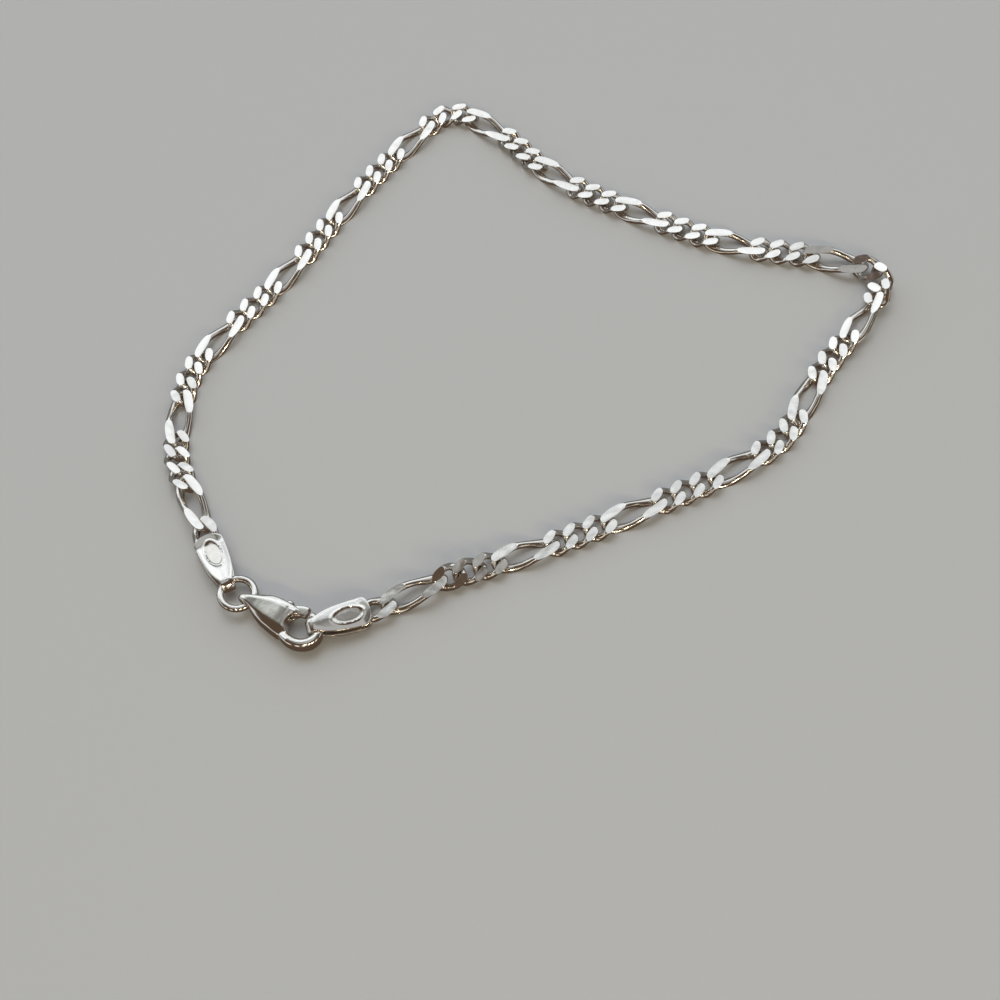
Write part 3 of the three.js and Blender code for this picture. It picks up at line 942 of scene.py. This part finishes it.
@dataclass(frozen=True)
class Clasp:
    """The claw clasp: x runs from its tail to its head and y towards its lever."""

    place: tuple[float, float, float] = (-30.8, -25.65, 1.06)
    heading: float = math.radians(-38)
    rise: float = math.radians(0.5)
    roll: float = math.radians(4)
    eye_at: float = 0.8
    eye_hole_radius: float = 0.55
    eye_half_depth: float = 1.3
    eye_flare: float = 0.42
    mouth_at: float = 6.5
    mouth_length: float = 2.8
    mouth_width: float = 2.1
    mouth_squareness: float = 0.82
    arm_reach: float = 1.9
    arm_spread: float = 1.55
    pivot: tuple[float, float] = (4.55, 1.1)
    slot_half_depth: float = 0.46
    slot_radius: float = 0.7
    lever_half_thickness: float = 0.40
    root_radius: float = 0.5
    tab_foot: tuple[float, float] = (-0.1, 0.3)
    tab_lean: float = 0.08
    tab_height: float = 0.56
    tab_half_width: float = 0.34
    tab_squareness: float = 0.7
    pin_radius: float = 0.21
    pin_hole_radius: float = 0.26
    pin_half_length: float = 0.90
    lip_at: float = 4.70
    lip_slant: float = 0.24
    dip: float = 0.13
    grain: float = 0.045
    lever_grain: float = 0.03

    def seat(self) -> Seat:
        """Where the clasp lies."""
        return Seat.along(np.array(self.place), way(self.heading, self.rise), self.roll)

    def around_mouth(self, angle: Any) -> Array:
        """Points of the oval that the hook and the lever follow, at angles in degrees."""
        turn = np.radians(angle)
        reach, spread = self.arm_reach * np.cos(turn), self.arm_spread * np.sin(turn)
        return np.stack([self.mouth_at + reach, spread, 0 * turn], axis=-1)

    def arm(
        self, angles: tuple[float, ...], across: tuple[float, ...], up: tuple[float, ...],
        steps: int, sides: int, squareness: float,
    ) -> Shell:
        """A bar along the oval round the mouth, whose sections are superellipses.

        Args:
            angles: stations round the oval, in degrees, from the bar's start to its end.
            across: half the bar's width at each station.
            up: half its depth there.
            steps: how many sections.
            sides: points round a section.
            squareness: the power that shapes the section, an ellipse at 1 and a box at 0.

        Returns:
            The bar. Its last twentieth is rounded off.
        """
        share = np.linspace(0, 1, steps)
        along = (np.array(angles) - angles[0]) / (angles[-1] - angles[0])
        turn = np.radians(angles[0] + (angles[-1] - angles[0]) * share)
        round_end = np.sqrt(1 - 0.98 * np.clip((share - 0.95) / 0.05, 0, 1) ** 2)
        around = circle(sides)
        outward = unit(np.stack([
            self.arm_spread * np.cos(turn), self.arm_reach * np.sin(turn), 0 * turn,
        ], axis=-1))
        aside, depth = (
            (np.interp(share, along, half) * round_end)[:, None] * signed_power(wave, squareness)
            for half, wave in ((across, np.cos(around)), (up, np.sin(around)))
        )
        points = self.around_mouth(np.degrees(turn))[:, None] + outward[:, None] * aside[..., None]
        points[..., 2] += depth
        return tube_shell(points)

    def bar(self, radius: float, half_length: float, dome: float = 0.0) -> Shell:
        """A round bar along z through the hinge's middle.

        Args:
            radius: the bar's.
            half_length: from its middle to the edge of its end.
            dome: how far a quarter ellipse bulges each end, or 0 for flat ends.

        Returns:
            The bar.
        """
        rise = np.linspace(0, math.pi / 2, 6)
        z, r = half_length + dome * np.sin(rise), radius * np.cos(rise * 0.96)
        if not dome:
            z, r = np.array([half_length]), np.array([radius])
        z, r = np.append(-z[::-1], z)[:, None], np.append(r[::-1], r)[:, None]
        x, y = self.pivot
        around = circle(48)
        return grid_shell(x + r * np.cos(around), y + r * np.sin(around), z)

    def prism(self, outline: Array, half_depth: float) -> Shell:
        """A plate of an outline in the clasp's plane."""
        return grid_shell(*outline.T, np.array([[-half_depth], [half_depth]]))

    def blade(self) -> Shell:
        """The body's leaf, from the round of its tail to the mouth.

        Each section has a level face above and below, a gentle bevel on the lever's side and a
        steep rounded wall on the other. A shallow hollow lies across the faces just before the
        mouth, so that the mouth has a fine raised lip.
        """
        x = np.linspace(-0.47, 5.75, 150)
        far = flowing(x, (
            (-0.47, -0.32, 0.0, 0.4, 0.8, 1.3, 2.2, 2.75, 3.3, 3.8, 4.4, 5.2, 5.75),
            (0.12, 0.33, 0.47, 0.60, 0.80, 1.02, 1.40, 1.58, 1.67, 1.69, 1.67, 1.60, 1.50),
        ))
        near = flowing(x, (
            (-0.47, -0.32, 0.0, 0.4, 0.8, 1.35, 2.2, 2.95, 3.6, 4.2, 5.1, 5.45, 5.75),
            (0.10, 0.26, 0.35, 0.40, 0.50, 0.82, 1.21, 1.49, 1.63, 1.76, 1.90, 1.80, 1.30),
        ))
        depth = flowing(x, (
            (-0.47, -0.32, 0.0, 0.5, 1.0, 1.5, 2.2, 3.0, 4.0, 5.0, 5.4, 5.75),
            (0.20, 0.56, 0.86, 0.97, 0.95, 0.925, 0.915, 0.92, 0.93, 0.91, 0.84, 0.62),
        ))
        upper = np.array([
            (1.0, 0.30), (0.97, 0.74), (0.67, 1.0), (-0.36, 1.0), (-0.80, 0.66), (-1.0, 0.14),
        ])
        corners = np.vstack([upper, upper[::-1] * (1, -1)])
        y = np.where(corners[:, 0] > 0, far[:, None], near[:, None]) * corners[:, 0]
        z = depth[:, None] * corners[:, 1]
        section = rounded(np.stack([y, z], axis=-1), 0.16, 7)
        y, z = section[..., 0], section[..., 1]
        x = x[:, None]
        dip = self.dip * self.across_lip(x, y, 0.15, 0.75)
        return grid_shell(x, y, z - np.sign(z) * dip)

    def across_lip(self, x: Array, y: Array, width: float, reach: float) -> Array:
        """1 along the slanting hollow before the mouth, falling off over a width and a reach."""
        slant = x - self.lip_slant * y
        return bell(slant, self.lip_at, width) * np.clip(1 - ((y - 0.25) / reach) ** 2, 0, 1)

    def eye_hole(self) -> Shell:
        """What is cut for the eye: a round hole along y that flares towards both sides."""
        y = np.linspace(-self.eye_half_depth, self.eye_half_depth, 41)[:, None]
        around = circle(48)
        flare = self.eye_flare * np.clip(np.abs(y) - 0.08, 0, None) ** 1.6
        reach = self.eye_hole_radius + flare
        return grid_shell(self.eye_at + reach * np.cos(around), y, reach * np.sin(around))

    def mouth_outline(self) -> Array:
        """The mouth's oval: a superellipse, blunter on the body's side."""
        around = circle(96)
        along = signed_power(np.cos(around), self.mouth_squareness)
        across = signed_power(np.sin(around), self.mouth_squareness)
        x = self.mouth_at + self.mouth_length / 2 * along
        return np.column_stack([x, self.mouth_width / 2 * across])

    def slot_outline(self) -> Array:
        """The room that the lever's root turns in, open to the mouth and the lever's side."""
        x, y = self.pivot
        back = np.radians(np.linspace(195, 285, 16))
        radius = self.slot_radius
        arc = np.stack([x + radius * np.cos(back), y + radius * np.sin(back)], axis=1)
        left, mouth = x - radius, self.mouth_at
        return np.vstack([[left, 2.4], [left, 1.0], arc, [mouth - 1.1, -0.1], [mouth - 0.7, 2.4]])

    def cast(
        self, name: str, solids: list[Shell], cuts: list[Shell], voxel: float, rounds: int
    ) -> Shell:
        """Melts overlapping solids into one cast piece with softened edges.

        Args:
            name: what it is called while it is made.
            solids: the shells that become one.
            cuts: the shells taken out of it.
            voxel: the size of its grain, in millimetres.
            rounds: how often its surface is smoothed.

        Returns:
            The piece's shell, in the clasp's frame.
        """
        blank, *tools = (
            add_object(build_mesh(f"{name}_{number}", shells, 1.0))
            for number, shells in enumerate([solids, *([cut] for cut in cuts)])
        )
        remesh = {"mode": "VOXEL", "voxel_size": voxel}
        carve = {"operation": "DIFFERENCE", "solver": "EXACT"}
        steps = [
            ("REMESH", remesh),
            *(("BOOLEAN", carve | {"object": tool}) for tool in tools),
            ("REMESH", remesh),
            ("SMOOTH", {"factor": 0.5, "iterations": rounds}),
        ]
        for kind, settings in steps:
            modifier = blank.modifiers.new(kind.lower(), kind)
            for key, setting in settings.items():
                setattr(modifier, key, setting)
        graph = bpy.context.evaluated_depsgraph_get()
        shell = arrays_of(blank.evaluated_get(graph).to_mesh())
        for thing in [blank, *tools]:
            bpy.data.objects.remove(thing)
        return shell

    def finish_values(self, shell: Shell) -> Shell:
        """Marks the points inside the mouth, round the eye and along the hollow before the mouth,
        where the colour darkens with tarnish and painted shade.
        """
        x, y, z = shell.points.T
        mouth_x = (x - self.mouth_at) / (self.mouth_length / 2)
        mouth = 1 - smooth(np.hypot(mouth_x, y / (self.mouth_width / 2)), 0.9, 1.15)
        eye = 1 - smooth(np.hypot(x - self.eye_at, z), 0.45, 0.65)
        return shell.valued(0.8 * mouth + 0.8 * eye + 0.7 * self.across_lip(x, y, 0.13, 0.6))

    def body_shell(self) -> Shell:
        """The body with its eye, hook and slot."""
        hook = self.arm(
            (-150, -128, -100, -30, 8, 36, 88), (0.30, 0.54, 0.57, 0.55, 0.50, 0.38, 0.33),
            (0.30, 0.66, 0.86, 0.80, 0.66, 0.44, 0.36), 110, 56, 0.85,
        )
        cuts = [
            self.prism(self.mouth_outline(), 2.0),
            self.prism(self.slot_outline(), self.slot_half_depth),
            self.eye_hole(),
        ]
        clear = self.cast("clasp_blank", [self.blade()], cuts, self.grain, 2)
        return self.finish_values(self.cast("clasp_cast", [clear, hook], [], self.grain, 4))

    def pin_shell(self) -> Shell:
        """The hinge pin, with domed heads."""
        pin = self.bar(self.pin_radius, self.pin_half_length, 0.02)
        # A little tarnish and painted shade over the whole pin.
        return pin.valued(np.full(len(pin.points), 0.15))

    def lever_shell(self) -> Shell:
        """The lever: its arm over the mouth, its root round the pin and its thumb tab."""
        foot_x, foot_y = (at + off for at, off in zip(self.pivot, self.tab_foot))
        half = self.lever_half_thickness
        arm = self.arm((146, 126, 91), (0.46, 0.54, 0.54), (half, half, half), 50, 48, 0.4)
        root = self.bar(self.root_radius, half - 0.04)
        around = circle(40)
        rise = np.linspace(0.0, 1.0, 16)[:, None]
        cap = np.sqrt(1 - 0.97 * np.clip((rise - 0.6) / 0.4, 0, 1) ** 2)
        along, up = (
            signed_power(wave, self.tab_squareness) for wave in (np.cos(around), np.sin(around))
        )
        tab = grid_shell(
            foot_x - self.tab_lean * rise + self.tab_half_width * cap * along,
            foot_y + self.tab_height * rise,
            (half - 0.05) * cap * up,
        )
        hole = self.bar(self.pin_hole_radius, 1.0)
        cast = self.cast("lever_blank", [arm, root, tab], [hole], self.lever_grain, 3)
        shell = self.finish_values(cast)
        # The lever gets half the tarnish and painted shade.
        shell.point_values["hollow"] *= 0.5
        return shell


@dataclass
class ClaspEnd:
    """What joins the chain's two ends: the clasp, its ring and the two end tags."""

    make: ChainMake
    route: Route
    clasp: Clasp = field(default_factory=Clasp)
    ring: JumpRing = field(default_factory=JumpRing)
    tag_angle: float = 40.0
    tag_slack: float = 0.36
    tag_turn: float = math.radians(14)
    ring_heading: float = math.radians(-48)
    ring_rise: float = math.radians(-2)
    ring_roll: float = math.radians(-8)

    def build(self, shop: Workshop) -> None:
        """Makes the clasp, its ring and the two tags: one holds the ring, the other the hook."""
        clasp = self.clasp
        seat = clasp.seat()
        body = [clasp.body_shell().placed(seat), clasp.pin_shell().placed(seat)]
        lever = [clasp.lever_shell().placed(seat)]
        shop.piece("clasp_claw", body, "clasp_silver", "clasp_body", crease=50)
        shop.piece("clasp_thumb_lever", lever, "clasp_silver", "clasp_lever", Body.LEVER, 50)
        along = way(self.ring_heading, self.ring_rise)
        held = seat.at(clasp.eye_at, 0.0, 0.0)
        ring = Seat.along(held - along * self.ring.radius, along, self.ring_roll)
        shop.piece("tail_ring", [self.ring.shell().placed(ring)], "silver", "jump_ring")
        half = self.make.short_pitch / 2
        twist = self.make.twist
        near_a = self.route.point(self.route.length + half)
        near_b = self.route.point(-half)
        tag = EndTag(self.make)
        nearest = ring.into(near_a)
        turn = math.atan2(nearest[1], nearest[0]) + self.tag_turn
        on_ring = ring.out(self.ring.radius * np.array([math.cos(turn), math.sin(turn), 0.0]))
        seat_a = tag.seat(on_ring, ring.place, ring.axes[:, 2], near_a)
        on_hook = seat.out(clasp.around_mouth(self.tag_angle))
        seat_b = tag.seat(on_hook, seat.at(clasp.mouth_at, 0.0, 0.0), seat.axes[:, 2], near_b)
        seat_b = Seat(seat_b.at(-self.tag_slack, 0.0, 0.0), seat_b.axes)
        self.tag(shop, "a", seat_a, self.route.length, (twist, 0.0))
        self.tag(shop, "b", seat_b, 0.0, (0.0, -twist))
        LOG.info("clasp end: claw, lever, ring, two tags")

    def tag(
        self, shop: Workshop, letter: str, seat: Seat, place: float, twists: tuple[float, float]
    ) -> None:
        """Makes one end tag and the link in it.

        Args:
            shop: where the pieces are finished.
            letter: the tag's letter.
            seat: where the tag lies.
            place: where the last short link's middle lies on the route.
            twists: the link's twist at its low and high end.
        """
        node = f"end_tag_{letter}"
        folded = EndTag(self.make).shell().placed(seat)
        shop.piece(f"folded_tag_{letter}", [folded], "silver", node, crease=40)
        link = short_link(self.make, *twists).placed(self.route.seat(place, self.make.short_pitch))
        shop.piece(f"end_link_{letter}", [link], "silver", node)


# ---- The studio


@dataclass(frozen=True)
class Softbox:
    """One rectangular soft light: its place and aim in metres, its sides, power and colour."""

    name: str
    place: Point
    aim: Point
    size: tuple[float, float]
    power: float
    colour: Point
    in_gloss: bool = True

    def build(self) -> None:
        """Hangs the light and turns it to its aim."""
        light = bpy.data.lights.new(self.name, "AREA")
        light.shape = "RECTANGLE"
        light.size, light.size_y = self.size
        light.energy = self.power
        light.color = self.colour
        thing = add_object(light)
        thing.visible_glossy = self.in_gloss
        thing.location = self.place
        toward = Vector(self.aim) - Vector(self.place)
        thing.rotation_euler = toward.to_track_quat("-Z", "Y").to_euler()


@dataclass(frozen=True)
class Room:
    """What shows in the metal: a bright window wall beyond the table and a dim brown room behind.

    Each region is a soft-edged patch of directions, laid over the ones before it. The dim room
    has pale sides and pale panels in its back wall, so the metal is silver from every side.
    """

    near: Colour = rgba(0.085, 0.056, 0.038)
    far: Colour = rgba(0.16, 0.155, 0.145)
    zenith: Colour = rgba(0.42, 0.42, 0.41)
    side: Colour = rgba(0.62, 0.62, 0.60)
    panel: Colour = rgba(0.95, 0.86, 0.70)
    ceiling: Colour = rgba(0.36, 0.375, 0.335)
    window: Colour = rgba(1.12, 1.16, 1.18)
    window_shade: Colour = rgba(0.62, 0.65, 0.66)
    backdrop: Colour = rgba(0.50, 0.50, 0.50)
    cloud_scale: float = 6.0
    panels_in_turn: float = 21.0

    def build(self) -> None:
        """Paints the room on the world, by the direction in which each part lies."""
        world = bpy.data.worlds.new("room")
        world.use_nodes = True
        recipe = Recipe(world.node_tree)
        toward = recipe.node("ShaderNodeTexCoord", {}, {}).outputs["Generated"]
        parts = recipe.node("ShaderNodeSeparateXYZ", {}, {0: toward})
        x, y, z = (Value(recipe, output) for output in parts.outputs)
        cloud = recipe.noise(toward, self.cloud_scale, 2.0).band(0.35, 0.65)
        sky = recipe.blend(cloud, self.window_shade, self.window)
        above = z.band(0.04, 0.16)
        stripes = (x * self.panels_in_turn).sine().band(0.10, 0.40)
        behind = (0.0 - y).band(0.30, 0.50) * above * (1.0 - z.band(0.50, 0.62))
        colour: Any = self.near
        for share, patch in (
            (y.band(0.00, 0.25), self.far),
            (z.band(0.94, 0.97), self.zenith),
            ((x * x).band(0.74, 0.86) * above, self.side),
            (stripes * behind, self.panel),
            (y.band(0.18, 0.28) * z.band(0.60, 0.75) * (1.0 - z.band(0.912, 0.926)), self.ceiling),
            (y.band(0.34, 0.38) * z.band(0.14, 0.30), sky),
            (recipe.add("ShaderNodeLightPath", {}, {}, "Is Camera Ray"), self.backdrop),
        ):
            colour = recipe.blend(share, colour, patch)
        back = recipe.node("ShaderNodeBackground", {}, {"Color": colour, "Strength": 1.0})
        recipe.node("ShaderNodeOutputWorld", {}, {"Surface": back.outputs[0]})
        bpy.context.scene.world = world


@dataclass
class Studio:
    """A pale table, soft lights and the camera."""

    shift: Array
    camera_foot: tuple[float, float] = (-5.37, -83.07)
    camera_height: float = 119.3
    pitch: float = math.radians(62)
    roll: float = math.radians(-10.5)
    lens: float = 50.4
    table_half: float = 1500.0
    table_light: Softbox = Softbox(
        "table_light", (0.0, 0.30, 0.70), (0.0, 0.0, 0.0), (0.50, 0.40), 1.15, (1.0, 0.99, 0.97),
        in_gloss=False,
    )
    warm_lamp: Softbox = Softbox(
        "warm_lamp", (0.0, 0.0, 0.0), (-0.02, -0.02, 0.0), (0.05, 0.05), 0.16, (1.0, 0.84, 0.55)
    )
    warm_places: tuple[Point, ...] = (
        (-0.10, -0.40, 0.34), (0.04, -0.44, 0.28), (0.18, -0.42, 0.22),
    )

    def build(self) -> None:
        """Sets the table, the lights, the room and the camera."""
        self.table()
        Room().build()
        self.table_light.build()
        for number, place in enumerate(self.warm_places, 1):
            replace(self.warm_lamp, name=f"warm_lamp_{number}", place=place).build()
        self.camera()

    def table(self) -> None:
        """A large flat pale surface under the bracelet, which the metal doesn't mirror."""
        corners = self.table_half * np.array([(-1, -1, 0), (1, -1, 0), (1, 1, 0), (-1, 1, 0)])
        mesh = bpy.data.meshes.new("table")
        mesh.from_pydata((corners * MM).tolist(), [], [(0, 1, 2, 3)])
        mesh.materials.append(PaleTable().material())
        top = add_object(mesh)
        top.visible_glossy = False

    def camera(self) -> None:
        """A camera that looks down across the loop, tipped a little to one side."""
        data = bpy.data.cameras.new("camera")
        data.lens = self.lens
        data.sensor_width = 36.0
        data.clip_start = 0.005
        thing = add_object(data)
        foot = np.array([*self.camera_foot, self.camera_height]) + self.shift * np.array([1, 1, 0])
        thing.location = foot * MM
        tilt = math.pi / 2 - self.pitch
        thing.rotation_mode = "QUATERNION"
        up, over = math.cos(tilt / 2), math.sin(tilt / 2)
        level, tipped = math.cos(self.roll / 2), math.sin(self.roll / 2)
        thing.rotation_quaternion = (up * level, over * level, -over * tipped, up * tipped)
        bpy.context.scene.camera = thing


# ---- All of it


def main() -> None:
    """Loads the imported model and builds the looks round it."""
    logging.basicConfig(level=logging.INFO, format="%(name)s: %(message)s")
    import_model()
    make = ChainMake()
    route = Route(ROUTE, make)
    low, high = (np.array(corner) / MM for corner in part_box(f"long_link_{ANCHOR:02d}"))
    shift = (low + high) / 2 - route.seat(route.long_places[ANCHOR - 1], make.long_pitch).place
    LOG.info("route shifted by %s mm", np.round(shift, 4))
    bpy.context.scene.view_settings.view_transform = "Standard"
    materials = {
        "silver": Silver("polished_silver").material(),
        "clasp_silver": Silver("clasp_silver", roughness=0.13, scratches=0.16).material(),
    }
    shop = Workshop(materials, shift)
    Chain(make, route).build(shop)
    ClaspEnd(make, route).build(shop)
    Studio(shift).build()


if __name__ == "__main__":
    main()
